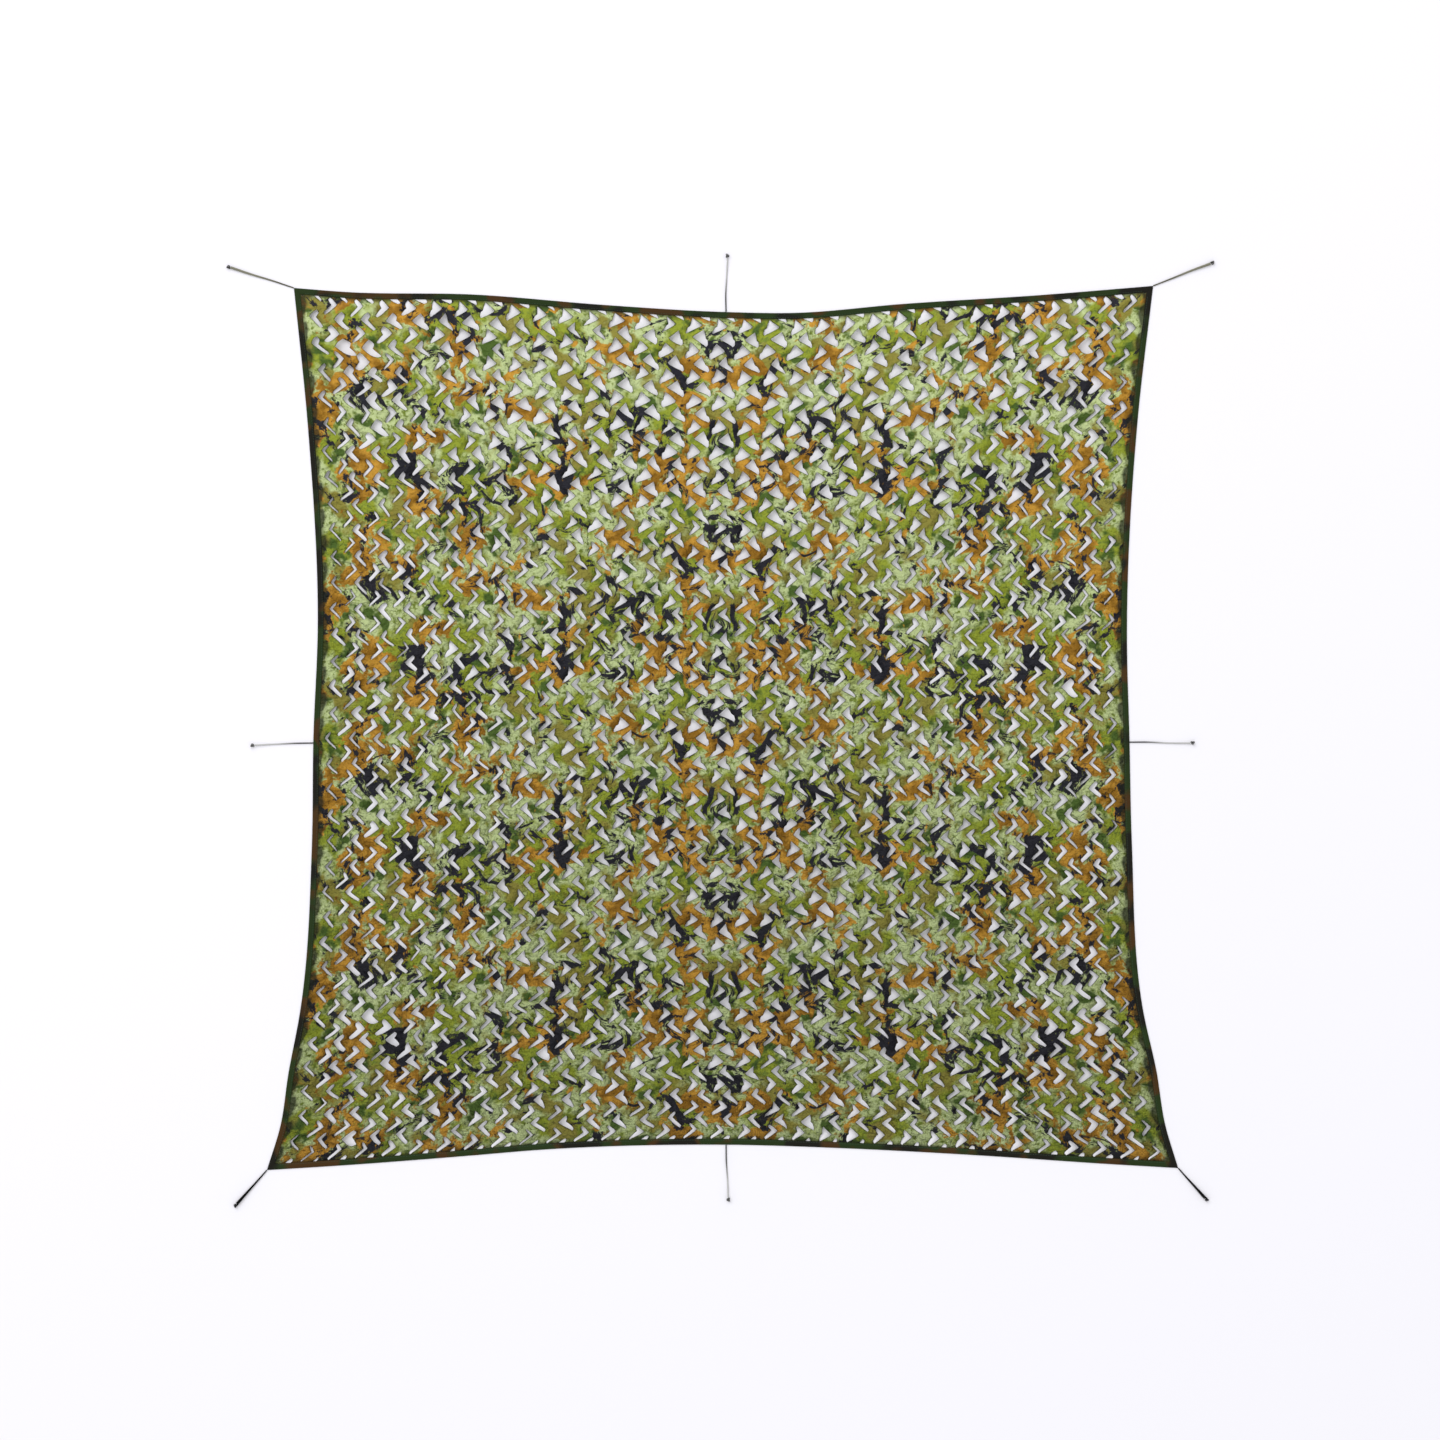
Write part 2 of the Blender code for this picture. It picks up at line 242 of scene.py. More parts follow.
def tube(name, line, radii):
    """A closed tube along a line, with a radius for each point and a braid raised in it."""
    side, up = axes_across(np.gradient(line, axis=0))
    travelled = np.concatenate([[0], np.cumsum(steps_along(line))])
    angle = np.arange(CORD_SIDES) * 2 * math.pi / CORD_SIDES
    turn = travelled[:, None] * 2 * math.pi / BRAID_PITCH
    weave = np.sin(STRANDS * (angle + turn)) * np.sin(STRANDS * (angle - turn))
    radius = radii[:, None] * (1 - BRAID_RELIEF + BRAID_RELIEF * weave)
    rings = (
        line[:, None]
        + side[:, None] * (radius * np.cos(angle))[..., None]
        + up[:, None] * (radius * np.sin(angle))[..., None]
    )
    rings[..., 2] = np.maximum(rings[..., 2], CLEAR_OF_FLOOR)
    cap = np.arange(CORD_SIDES)
    faces = ring_faces(len(line), CORD_SIDES)
    faces += [cap[::-1].tolist(), (cap + (len(line) - 1) * CORD_SIDES).tolist()]
    piece = new_piece(name, rings.reshape(-1, 3), faces)
    along = piece.data.attributes.new("along", "FLOAT", "POINT")
    along.data.foreach_set("value", np.repeat(travelled, CORD_SIDES).astype(np.float32))
    face_outwards(piece)
    bpy.ops.object.shade_smooth_by_angle(angle=math.radians(60))
    return piece


cords, cord_lines, routes = {}, {}, {}
for tie, (finish_name, places) in CORDS.items():
    low, thin, thick = CORD_KINDS[finish_name]
    routes[tie] = [(*place, low) for place in places[:-1]] + [(*places[-1], KNOT_END_HEIGHT)]
    line = route_line(routes[tie], CORD_STEP)
    share = np.linspace(0, 1, len(line))
    radii = (thin + (thick - thin) * share**THICKENING) / 2
    # A cord that thickens lies on its own underside, so its middle rises with its radius.
    line[:, 2] = np.maximum(line[:, 2], radii + CLEAR_OF_FLOOR)
    cords[tie] = tube(f"cord_{tie}", line, radii)
    cord_lines[tie] = line
    print(f"cord_{tie}: {steps_along(line).sum() * 1000:.0f} mm long, {len(line)} rings")

# %% [markdown]
# ## The end knots
#
# Each cord ends in an overhand knot, which keeps it from fraying and gives the hand a hold. Pulled
# tight, an overhand knot is a three-lobed lump. A trefoil curve has just those three lobes, so it is
# given the cord's thickness and squeezed to the knot's size. The shade between its lobes is painted into
# its colour, so it has a finish of its own, darker than the cord's.

# %% End knots
KNOT_LENGTH, KNOT_WIDTH, KNOT_HEIGHT = 0.0150, 0.0120, 0.0108
KNOT_POINTS = 66
KNOT_SIDES = 10
KNOT_STRAND = 0.34   # the strand's radius, in the trefoil's own units
RINGS_BACK = 6       # the cord's last few rings give the direction that its knot takes


def knot_piece(tie):
    """A tight overhand knot just past a cord's end, as long and wide as its solid."""
    low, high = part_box(f"end_knot_{tie}")
    middle = np.array((low + high) / 2)
    end, before = cord_lines[tie][-1], cord_lines[tie][-RINGS_BACK]
    run = end - before
    run[2] = 0
    run /= np.linalg.norm(run)
    t = np.linspace(0, 2 * math.pi, KNOT_POINTS, endpoint=False)
    curve = np.column_stack([np.sin(t) + 2 * np.sin(2 * t), np.cos(t) - 2 * np.cos(2 * t), -np.sin(3 * t)])
    curve /= 2.0
    side, up = axes_across(np.roll(curve, -1, axis=0) - np.roll(curve, 1, axis=0))
    angle = np.arange(KNOT_SIDES) * 2 * math.pi / KNOT_SIDES
    rings = curve[:, None] + KNOT_STRAND * (
        side[:, None] * np.cos(angle)[:, None] + up[:, None] * np.sin(angle)[:, None]
    )
    points = rings.reshape(-1, 3)
    points = (points - (points.max(0) + points.min(0)) / 2) / (points.max(0) - points.min(0))
    points = points * (KNOT_LENGTH, KNOT_WIDTH, KNOT_HEIGHT)
    across = np.array([-run[1], run[0], 0])
    points = middle + points[:, :1] * run + points[:, 1:2] * across + points[:, 2:] * np.array([0, 0, 1])
    points[:, 2] = np.maximum(points[:, 2], CLEAR_OF_FLOOR)
    piece = new_piece(f"knot_{tie}", points, ring_faces(KNOT_POINTS, KNOT_SIDES, closed=True))
    face_outwards(piece)
    bpy.ops.object.shade_smooth()
    return piece


knots = {tie: knot_piece(tie) for tie in CORDS}
print("knots:", len(knots))

# %% [markdown]
# ## The outline
#
# The edges of the net curve inwards between its ties. The solids were made from four corners and from
# how far each edge is drawn in, so the same few numbers give the lines along which the tape and the
# cloth's hem run here.

# %% Outline
CORNERS = {
    "bottom_left": (-1.549, -1.503),
    "bottom_right": (1.549, -1.496),
    "top_left": (-1.457, 1.496),
    "top_right": (1.464, 1.503),
}
# First corner, last corner, and the side of that direction on which the cloth lies (+1 is left).
EDGES = {
    "bottom": ("bottom_left", "bottom_right", 1),
    "top": ("top_left", "top_right", -1),
    "left": ("bottom_left", "top_left", -1),
    "right": ("bottom_right", "top_right", 1),
}
# Share of the way along each edge, and millimetres drawn in there.
DRAWN_IN = {
    "bottom": (
        (0.0, 0), (0.09, 17), (0.22, 47), (0.30, 67), (0.50, 83),
        (0.64, 69), (0.79, 43), (0.92, 15), (1.0, 0),
    ),
    "top": (
        (0.0, 0), (0.06, 14), (0.21, 24), (0.36, 60), (0.50, 85),
        (0.58, 89), (0.71, 59), (0.87, 30), (1.0, 0),
    ),
    "left": (
        (0.0, 0), (0.05, 41), (0.11, 63), (0.18, 96), (0.37, 119),
        (0.49, 113), (0.62, 116), (0.84, 63), (1.0, 0),
    ),
    "right": (
        (0.0, 0), (0.05, 40), (0.11, 64), (0.18, 104), (0.37, 126),
        (0.49, 124), (0.60, 123), (0.85, 65), (1.0, 0),
    ),
}


def outline(edge, share):
    """Points on one edge of the net at shares of its length."""
    first, last, side = EDGES[edge]
    start, chord = np.array(CORNERS[first]), np.subtract(CORNERS[last], CORNERS[first])
    inward = np.array([-chord[1], chord[0]]) / np.hypot(*chord) * side
    share = np.asarray(share, float)[:, None]
    return start + chord * share + inward * smooth(DRAWN_IN[edge], share) * MM


def heading(edge, share, step=0.004):
    """The directions in which an edge runs."""
    share = np.asarray(share, float)
    run = outline(edge, np.minimum(1, share + step)) - outline(edge, np.maximum(0, share - step))
    return run / np.linalg.norm(run, axis=1)[:, None]


def half_corner(edge, at_end):
    """Half the angle of the cloth at an edge's first or last corner."""
    corner = EDGES[edge][1 if at_end else 0]
    other = next(e for e in EDGES if e != edge and corner in EDGES[e][:2])
    other_at_end = EDGES[other][1] == corner
    mine = heading(edge, [float(at_end)])[0] * (-1 if at_end else 1)
    its = heading(other, [float(other_at_end)])[0] * (-1 if other_at_end else 1)
    return math.acos(float(mine @ its)) / 2


HALF_CORNERS = {edge: (half_corner(edge, False), half_corner(edge, True)) for edge in EDGES}


def inside(edge, share, depth):
    """Points a depth in from an edge, moved along it towards its middle so that corners are mitred."""
    share = np.asarray(share, float)
    run = heading(edge, share)
    inward = np.column_stack([-run[:, 1], run[:, 0]]) * EDGES[edge][2]
    first, last = HALF_CORNERS[edge]
    shift = (1 - share) / math.tan(first) - share / math.tan(last)
    return outline(edge, share) + depth * (inward + run * shift[:, None])


# %% [markdown]
# ## One repeat of the cut
#
# The cutting die repeats every 85 mm. In each repeat it makes two slits, one to open like > and the
# other like <, half a repeat lower. A flat grid is enough for the cloth: the edges along a slit are
# split, and the two rims are moved a hair apart, so that the copies laid beside each other later join
# along the repeat's border but never across a slit.

# %% The tile
PERIOD = 0.085
TILE_COLUMNS, TILE_ROWS = 8, 12
STEP_X, STEP_Y = PERIOD / TILE_COLUMNS, PERIOD / TILE_ROWS
KERF = 0.002
RIGHT_SLIT, LEFT_SLIT = 2, 6      # the columns of the slits that open like > and like <
SLIT_START, SLIT_ROWS = 1, 10     # the > slit's first row, counted downwards, and its length in rows
HALF_TURN = TILE_ROWS // 2        # the < slit is this many rows lower

only(camera)
bpy.ops.mesh.primitive_grid_add(
    x_subdivisions=TILE_COLUMNS, y_subdivisions=TILE_ROWS,
    size=PERIOD, location=(PERIOD / 2, -PERIOD / 2, 0),
)
tile = bpy.context.object
only(tile)
bpy.ops.object.transform_apply(location=True, rotation=True, scale=True)
print("tile:", len(tile.data.polygons), "faces")


def on_slit(edge):
    """Whether an edge of the tile lies on one of its slits."""
    columns = {round(v.co.x / STEP_X) for v in edge.verts}
    row = min(round(-v.co.y / STEP_Y) for v in edge.verts)
    down_right = (row - SLIT_START) % TILE_ROWS
    down_left = (row - SLIT_START - HALF_TURN) % TILE_ROWS
    return (columns == {RIGHT_SLIT} and down_right < SLIT_ROWS) or (
        columns == {LEFT_SLIT} and down_left < SLIT_ROWS
    )


bpy.ops.object.mode_set(mode="EDIT")
bpy.ops.mesh.select_mode(type="EDGE")
bpy.ops.mesh.select_all(action="DESELECT")
cut = bmesh.from_edit_mesh(tile.data)
for edge in cut.edges:
    edge.select_set(on_slit(edge))
bmesh.update_edit_mesh(tile.data)
bpy.ops.mesh.edge_split(type="EDGE")

# After the split, a rim's points have faces on one side of them only.
bpy.ops.mesh.select_mode(type="VERT")
cut = bmesh.from_edit_mesh(tile.data)
for direction in (-1, 1):
    bpy.ops.mesh.select_all(action="DESELECT")
    for vertex in cut.verts:
        column = round(vertex.co.x / STEP_X)
        sides = {np.sign(face.calc_center_median().x - column * STEP_X) for face in vertex.link_faces}
        vertex.select_set(column in (RIGHT_SLIT, LEFT_SLIT) and sides == {direction})
    bmesh.update_edit_mesh(tile.data)
    bpy.ops.transform.translate(value=(direction * KERF / 2, 0, 0))
bpy.ops.object.mode_set(mode="OBJECT")

# %% [markdown]
# ## The whole sheet
#
# Two arrays lay the repeat 33 times across and 34 times down. The doubled points along the borders are
# merged. A merge distance far under the slit's kerf leaves the slits open.

# %% Array the tile
ACROSS, DOWN = 33, 34
for count, offset in ((ACROSS, (PERIOD, 0, 0)), (DOWN, (0, -PERIOD, 0))):
    array = tile.modifiers.new("repeat", "ARRAY")
    array.count = count
    array.use_relative_offset = False
    array.use_constant_offset = True
    array.constant_offset_displace = offset
    array.use_merge_vertices = True
    array.merge_threshold = 0.0001
    bpy.ops.object.modifier_apply(modifier=array.name)
sheet = tile
sheet.name = "net_cloth_left"
print("sheet:", len(sheet.data.vertices), "points,", len(sheet.data.polygons), "faces")

# %% [markdown]
# ## Pulling the net open
#
# Pulled sideways, a slit opens widest at its elbow. The cloth outside the elbow moves out a little and
# keeps its edge, and the leaf inside it draws back and curls down. Between two slits the cloth shares
# out the movement. A leaf that is drawn back also pulls its slit's ends together, and the elbow of a
# wide slit hangs a little lower.
#
# How wide a slit stands open depends on the pull. Here the net is pulled most near its top edge, along
# its middle and in its corners, and its gathered sides stay almost closed. A few soft bumps in a table
# say so, and a seeded jitter makes neighbours differ.

# %% Where each point of the cut sheet is
flat = np.empty(len(sheet.data.vertices) * 3, np.float32)
sheet.data.vertices.foreach_get("co", flat)
flat = flat.reshape(-1, 3).astype(float)
column = np.rint(flat[:, 0] / STEP_X).astype(int)
row = np.rint(-flat[:, 1] / STEP_Y).astype(int)
rim = np.sign(np.round((flat[:, 0] - column * STEP_X) / (KERF / 2)))
print("rim points:", int((rim != 0).sum()), "columns:", column.max(), "rows:", row.max())

# %% How the slits run
SLIT_SHARE = SLIT_ROWS / TILE_ROWS
# Where the > slit runs: share of the repeat downwards from its top tip, share of the repeat across.
SLIT_LINE = (
    (0.0, 0.285), (0.34, 0.500), (0.80, 0.080), (0.86, 0.085), (1.0, 0.285),
)
# Shares of the slit's length and how far open it is there: a slit that is just open is an even stroke with
# blunt ends, and a slit pulled wide is a triangle that stands on its long side. Near the left and right
# edges, where the gathers hold the cloth, even a wide slit stays a stroke.
STROKE = ((0.0, 0.0), (0.13, 0.92), (0.45, 1.0), (0.86, 0.88), (1.0, 0.0))
TRIANGLE = ((0.0, 0.0), (0.22, 0.52), (0.46, 1.0), (0.78, 0.50), (1.0, 0.0))
WIDE_FROM, WIDE_OVER = 17 * MM, 11 * MM    # the opening at which a stroke starts to turn, and over how much
STROKE_REACH, STROKE_FADE = 0.15, 0.40     # metres from a side: strokes only, and then less and less so
OUTER_SHARE = 0.28    # share of the opening by which the outer rim moves out; the leaf takes the rest


def tidy_step(x):
    """A smooth step from 0 to 1."""
    x = np.clip(x, 0, 1)
    return x * x * (3 - 2 * x)


def slit_line(phase):
    return np.interp(phase % 1.0, *zip(*SLIT_LINE))


def slit_width(phase, full, from_side):
    """How far open a slit is along its length: 0 at its ends, 1 at its elbow. full is how wide that is."""
    wide = tidy_step((full - WIDE_FROM) / WIDE_OVER) * tidy_step((from_side - STROKE_REACH) / STROKE_FADE)
    t = np.clip((phase % 1.0) / SLIT_SHARE, 0, 1)
    return (1 - wide) * np.interp(t, *zip(*STROKE)) + wide * np.interp(t, *zip(*TRIANGLE))


def shortened(phase):
    """1 at a slit's upper end, -1 at its lower end, and back to 1 along the bridge to the next slit."""
    return np.interp(phase % 1.0, (0, SLIT_SHARE, 1), (1, -1, 1))


# %% How wide each slit is pulled open
SLIT_CLOSED = 16.5 * MM
# Middle x and y of a pulled area, how far it spreads in x and in y, and how much wider the slits are.
PULLED_OPEN = (
    (0.05, 1.15, 1.15, 0.45, 35 * MM),
    (-1.15, 0.92, 0.32, 0.32, -8 * MM),
    (-0.90, 1.40, 0.30, 0.12, 13 * MM),
    (1.15, 0.92, 0.32, 0.32, -8 * MM),
    (0.95, 1.40, 0.30, 0.12, 7 * MM),
    (-0.05, 0.70, 0.80, 0.35, 7 * MM),
    (-0.10, 0.02, 0.55, 0.35, 15 * MM),
    (0.10, -0.75, 0.75, 0.60, 14 * MM),
    (0.90, 0.45, 0.55, 0.30, -2 * MM),
    (-0.90, 0.50, 0.45, 0.25, -2 * MM),
    (-1.20, -1.15, 0.30, 0.30, 4 * MM),
    (1.20, -1.15, 0.30, 0.30, 5 * MM),
)
SIDE_REACH = 0.17     # metres from the left and right edges within which the gathers hold the slits shut
SIDE_SHUT = 0.55
JITTER = 0.20
DRIFT = 0.16          # how far whole patches of slits stand more or less open
UNEVEN_PITCH = 0.047  # the repeat is this share taller than its mean at the top, and shorter at the bottom
LEAST_OPEN, MOST_OPEN = 8 * MM, 47 * MM
SEWN_REACH = 0.6      # repeats from the left and right edges within which the slits run into the hem
SEWN_OPEN = 1 * MM

random = np.random.default_rng(61)

HEM_HIDDEN = 0.008    # the cloth's own edge lies this deep inside the folded tape
line_share = np.linspace(0, 1, 601)
hem_lines = {edge: inside(edge, line_share, HEM_HIDDEN) for edge in EDGES}


def on_hem(edge, share):
    return np.column_stack([np.interp(share, line_share, hem_lines[edge][:, k]) for k in (0, 1)])


def patch(across, up):
    """Points of a sheet stretched between the four hem lines, at shares across and up."""
    a, b = across[:, None], up[:, None]
    spanned = on_hem("bottom", across) * (1 - b) + on_hem("top", across) * b
    spanned += on_hem("left", up) * (1 - a) + on_hem("right", up) * a
    low_left, low_right = hem_lines["bottom"][0], hem_lines["bottom"][-1]
    high_left, high_right = hem_lines["top"][0], hem_lines["top"][-1]
    spanned -= low_left * (1 - a) * (1 - b) + low_right * a * (1 - b)
    spanned -= high_left * (1 - a) * b + high_right * a * b
    return spanned


def share_up(rows_down):
    """How far up the net a place lies that many repeats down, as a share."""
    s = np.clip(rows_down / DOWN, 0, 1)
    return 1 - (s + UNEVEN_PITCH * s * (1 - s))


def ripple(x, y, waves, seed):
    """A smooth random value for each place: a sum of waves of the given lengths."""
    draw = np.random.default_rng(seed)
    total = np.zeros(len(x))
    for length in waves:
        angle, shift = draw.uniform(0, 2 * math.pi, 2)
        total += np.sin((x * math.cos(angle) + y * math.sin(angle)) * 2 * math.pi / length + shift)
    return total / math.sqrt(len(waves))


def pull(across, up):
    """How wide the slits about a place stand open, in metres."""
    x, y = patch(across, up).T
    opening = np.full(len(x), SLIT_CLOSED)
    for middle_x, middle_y, spread_x, spread_y, more in PULLED_OPEN:
        opening += more * np.exp(-(((x - middle_x) / spread_x) ** 2) - ((y - middle_y) / spread_y) ** 2)
    from_side = np.minimum(across, 1 - across) * ACROSS * PERIOD
    opening *= SIDE_SHUT + (1 - SIDE_SHUT) * tidy_step(from_side / SIDE_REACH)
    return opening * np.exp(DRIFT * ripple(x, y, (0.52, 0.37, 0.29), 3))


def slit_openings(first_across, first_down):
    """The opening of each slit of one kind, in metres, by its repeat across and down."""
    i, j = np.meshgrid(np.arange(-1, ACROSS + 2), np.arange(-2, DOWN + 2), indexing="ij")
    across = np.clip((i.ravel() + first_across) / ACROSS, 0, 1)
    opening = pull(across, share_up(j.ravel() + first_down))
    opening *= np.exp(JITTER * random.standard_normal(len(opening)))
    opening = np.clip(opening, LEAST_OPEN, MOST_OPEN)
    # The slits that run into the hem are sewn shut.
    opening[(across * ACROSS < SEWN_REACH) | (across * ACROSS > ACROSS - SEWN_REACH)] = SEWN_OPEN
    return opening.reshape(i.shape)


UNEVEN_CURL = 0.35
SHORTENED = 0.075     # share of the repeat by which each end of a slit draws in
SHORTER_WIDE = 0.35   # how much more that is at a wide slit
SHORTER_FROM = 20 * MM
SAG = 0.06            # share of the repeat by which an open slit's elbow hangs down
SAG_FROM = 18 * MM
WIDE_STEP = 16 * MM   # over this much more opening, both come in


def slit_curls():
    """How much more or less than most the leaf at each slit curls."""
    return np.exp(UNEVEN_CURL * random.standard_normal((ACROSS + 3, DOWN + 4)))


right_openings = slit_openings(0.27, 0.42)
left_openings = slit_openings(0.73, 0.92)
right_curls, left_curls = slit_curls(), slit_curls()
print("slits open", round(right_openings.min() * 1000), "to", round(right_openings.max() * 1000), "mm")

# %% Move every point to where the pull takes it
phase = (row - SLIT_START) / TILE_ROWS
right_phase, left_phase = phase, phase - 0.5
# A point at a slit's own column belongs to the strip on its rim's side.
strip = column - 0.5 * (rim < 0)
gap = LEFT_SLIT - RIGHT_SLIT
tile_across = np.floor((strip - RIGHT_SLIT) / TILE_COLUMNS).astype(int)
leaf_strip = strip - RIGHT_SLIT - tile_across * TILE_COLUMNS >= gap
position = (column - RIGHT_SLIT) - tile_across * TILE_COLUMNS
share = np.where(leaf_strip, (position - gap) / (TILE_COLUMNS - gap), position / gap)
# A strip bends most beside its slits, so its columns stand closer together there.
share = np.interp(share, (0, 0.25, 0.5, 0.75, 1), (0, 0.18, 0.5, 0.82, 1))


def slit_value(values, across, slit_phase):
    """The value in a table of slits of the slit that a point lies beside."""
    down = np.floor(slit_phase).astype(int)
    return values[np.clip(across + 1, 0, values.shape[0] - 1), np.clip(down + 2, 0, values.shape[1] - 1)]


right_across = tile_across + leaf_strip
right_full = slit_value(right_openings, right_across, right_phase)
left_full = slit_value(left_openings, tile_across, left_phase)
straight_x = column / TILE_COLUMNS
from_side = np.minimum(straight_x, ACROSS - straight_x) * PERIOD
right_width = slit_width(right_phase, right_full, from_side)
left_width = slit_width(left_phase, left_full, from_side)
right_open, left_open = right_full / PERIOD * right_width, left_full / PERIOD * left_width
right_x = right_across + slit_line(right_phase)
left_x = tile_across + 1 - slit_line(left_phase)
leaf_share = 1 - OUTER_SHARE
start = np.where(leaf_strip, left_x + leaf_share * left_open, right_x + OUTER_SHARE * right_open)
end = np.where(leaf_strip, right_x - leaf_share * right_open, left_x - OUTER_SHARE * left_open)
pulled_x = start * (1 - share) + end * share

# The crooked run fades out at the sides, where the cloth's edge is straight.
STRAIGHT_REACH = 0.75    # in repeats
fade = tidy_step(from_side / PERIOD / STRAIGHT_REACH)
pulled_x = straight_x + (pulled_x - straight_x) * fade
# A slit that is pulled wide grows shorter.
pull_here = pull(straight_x / ACROSS, share_up(row / TILE_ROWS))
shrink = SHORTENED * (1 + SHORTER_WIDE * tidy_step((pull_here - SHORTER_FROM) / WIDE_STEP))
sag_right = SAG * right_width * tidy_step((right_full - SAG_FROM) / WIDE_STEP)
sag_left = SAG * left_width * tidy_step((left_full - SAG_FROM) / WIDE_STEP)
right_part = np.where(leaf_strip, share, 1 - share)
toward = shortened(right_phase) * right_part + shortened(left_phase) * (1 - right_part)
sag = sag_right * right_part + sag_left * (1 - right_part)
pulled_y = row / TILE_ROWS + (shrink * toward + sag) * fade

# %% [markdown]
# ## Laying the net on its folds
#
# The pulled sheet is spread between the hem lines, and takes its height from the solid: rays drop on
# the solid on a coarse grid, and the heights are softened so that no facet shows. On top of that the
# net stands about two centimetres clear of the floor on its own curled leaves. The leaves dip towards
# the floor and the outer rims rise a little, which is what makes the cut catch the light. Along the left
# and right edges the cloth is gathered into the tape in fine puckers.
#
# One fault is left: the cloth starts to rise just where the tape ends, so in places it passes through the
# inner edge of the tape's upper layer instead of over it.

# %% Heights from the solid
SOLID_THICK = 1.2 * MM
HEIGHT_CELLS = 120
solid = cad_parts["net_cloth"].data
tree = BVHTree.FromPolygons([v.co for v in solid.vertices], [tuple(p.vertices) for p in solid.polygons])
grid_share = np.linspace(0, 1, HEIGHT_CELLS + 1)
grid_across, grid_up = (g.ravel() for g in np.meshgrid(grid_share, grid_share, indexing="ij"))
heights = []
for x, y in patch(grid_across, grid_up):
    hit = tree.ray_cast(Vector((x, y, 1)), Vector((0, 0, -1)))[0]
    heights.append(0.0 if hit is None else hit.z - SOLID_THICK)
heights = np.array(heights).reshape(HEIGHT_CELLS + 1, HEIGHT_CELLS + 1)
for _ in range(3):
    for axis in (0, 1):
        padded = np.pad(heights, [(1, 1) if k == axis else (0, 0) for k in (0, 1)], mode="edge")
        parts = [np.take(padded, np.arange(HEIGHT_CELLS + 1) + k, axis=axis) for k in range(3)]
        heights = (parts[0] + 2 * parts[1] + parts[2]) / 4
print("solid's folds rise to", round(heights.max() * 1000, 1), "mm")


def solid_height(across, up):
    """The softened height of the solid's underside, between the grid's points."""
    a, b = np.clip(across, 0, 1) * HEIGHT_CELLS, np.clip(up, 0, 1) * HEIGHT_CELLS
    i, j = np.minimum(a.astype(int), HEIGHT_CELLS - 1), np.minimum(b.astype(int), HEIGHT_CELLS - 1)
    a, b = a - i, b - j
    low = heights[i, j] * (1 - a) + heights[i + 1, j] * a
    high = heights[i, j + 1] * (1 - a) + heights[i + 1, j + 1] * a
    return low * (1 - b) + high * b


# %% Spread the sheet
STAND_OFF = 18.5 * MM    # how far the leaf cut holds the cloth off the floor
HEM_HEIGHT = 1.3 * MM    # the cloth's height inside the tape
HEM_DEPTH = 0.012        # this much of the cloth's border lies inside the tape
HEM_RISE = 0.030         # past that, the cloth takes this long to reach its full height
LEAF_DROP = 18.5 * MM
LEAF_SPREAD = 0.62       # how far a leaf's dip reaches, as a share of the strip beside the slit
RIM_RISE = 4.0 * MM
FULL_OPENING = 27 * MM   # a slit this wide has the full dip
RUMPLE = 2.0 * MM        # how far small crumples move the cloth about in its own plane
SIDE_PUCKER = 11.0 * MM  # fine gathers along the sides
PUCKER_LENGTH = 0.030
PUCKER_REACH = 0.075
GATHER_SHADE = 0.014     # the shade in the fine gathers beside the tape reaches about this far
CALM_BORDER = 0.10       # drift and crumples fade out over this much of the border
HIGHEST_FOLD = 24.0 * MM

metres_x, metres_y = pulled_x * PERIOD, pulled_y * PERIOD
width, depth = ACROSS * PERIOD, DOWN * PERIOD
to_side = np.minimum(metres_x, width - metres_x)
to_border = np.minimum(to_side, np.minimum(metres_y, depth - metres_y))
loose = tidy_step((to_border - HEM_DEPTH) / HEM_RISE)
drift = 2.2 * MM * tidy_step(to_border / CALM_BORDER)
shift_x = drift * ripple(metres_x, metres_y, (0.62, 0.41, 0.23, 0.17), 5)
shift_x += 6 * MM * tidy_step(to_border / 0.05) * ripple(metres_x * 0.3, metres_y, (0.34, 0.22, 0.17), 7)
shift_y = drift * ripple(metres_x, metres_y, (0.57, 0.36, 0.26, 0.15), 6)
rumple = RUMPLE * tidy_step(to_border / CALM_BORDER)
shift_x += rumple * ripple(metres_x, metres_y, (0.131, 0.107, 0.083), 15)
shift_y += rumple * ripple(metres_x, metres_y, (0.127, 0.101, 0.088), 16)
across = (metres_x + shift_x) / width
up = share_up((metres_y + shift_y) / PERIOD)
ground = patch(across, up)

near_left = np.clip(1 - share / LEAF_SPREAD, 0, 1) * leaf_strip
near_right = np.clip(1 - (1 - share) / LEAF_SPREAD, 0, 1) * leaf_strip
left_bend = left_width * np.minimum(left_full / FULL_OPENING, 1.2)
right_bend = right_width * np.minimum(right_full / FULL_OPENING, 1.2)
left_curl = slit_value(left_curls, tile_across, left_phase)
right_curl = slit_value(right_curls, right_across, right_phase)
dip = LEAF_DROP * (near_left * left_bend * left_curl + near_right * right_bend * right_curl)
rim_near = (1 - leaf_strip) * (
    np.clip(1 - share * 2, 0, 1) ** 2 * right_bend + np.clip(share * 2 - 1, 0, 1) ** 2 * left_bend
)
pucker = SIDE_PUCKER * np.exp(-((to_side / PUCKER_REACH) ** 2)) * (
    0.5 + 0.5 * np.sin(2 * math.pi * (metres_y + 0.45 * to_side) / PUCKER_LENGTH + 2 * ripple(
        metres_x, metres_y, (0.5, 0.31), 8))
)
stand = STAND_OFF * np.interp(pull(across, up), (10 * MM, 22 * MM, 40 * MM), (0.32, 0.90, 0.95))
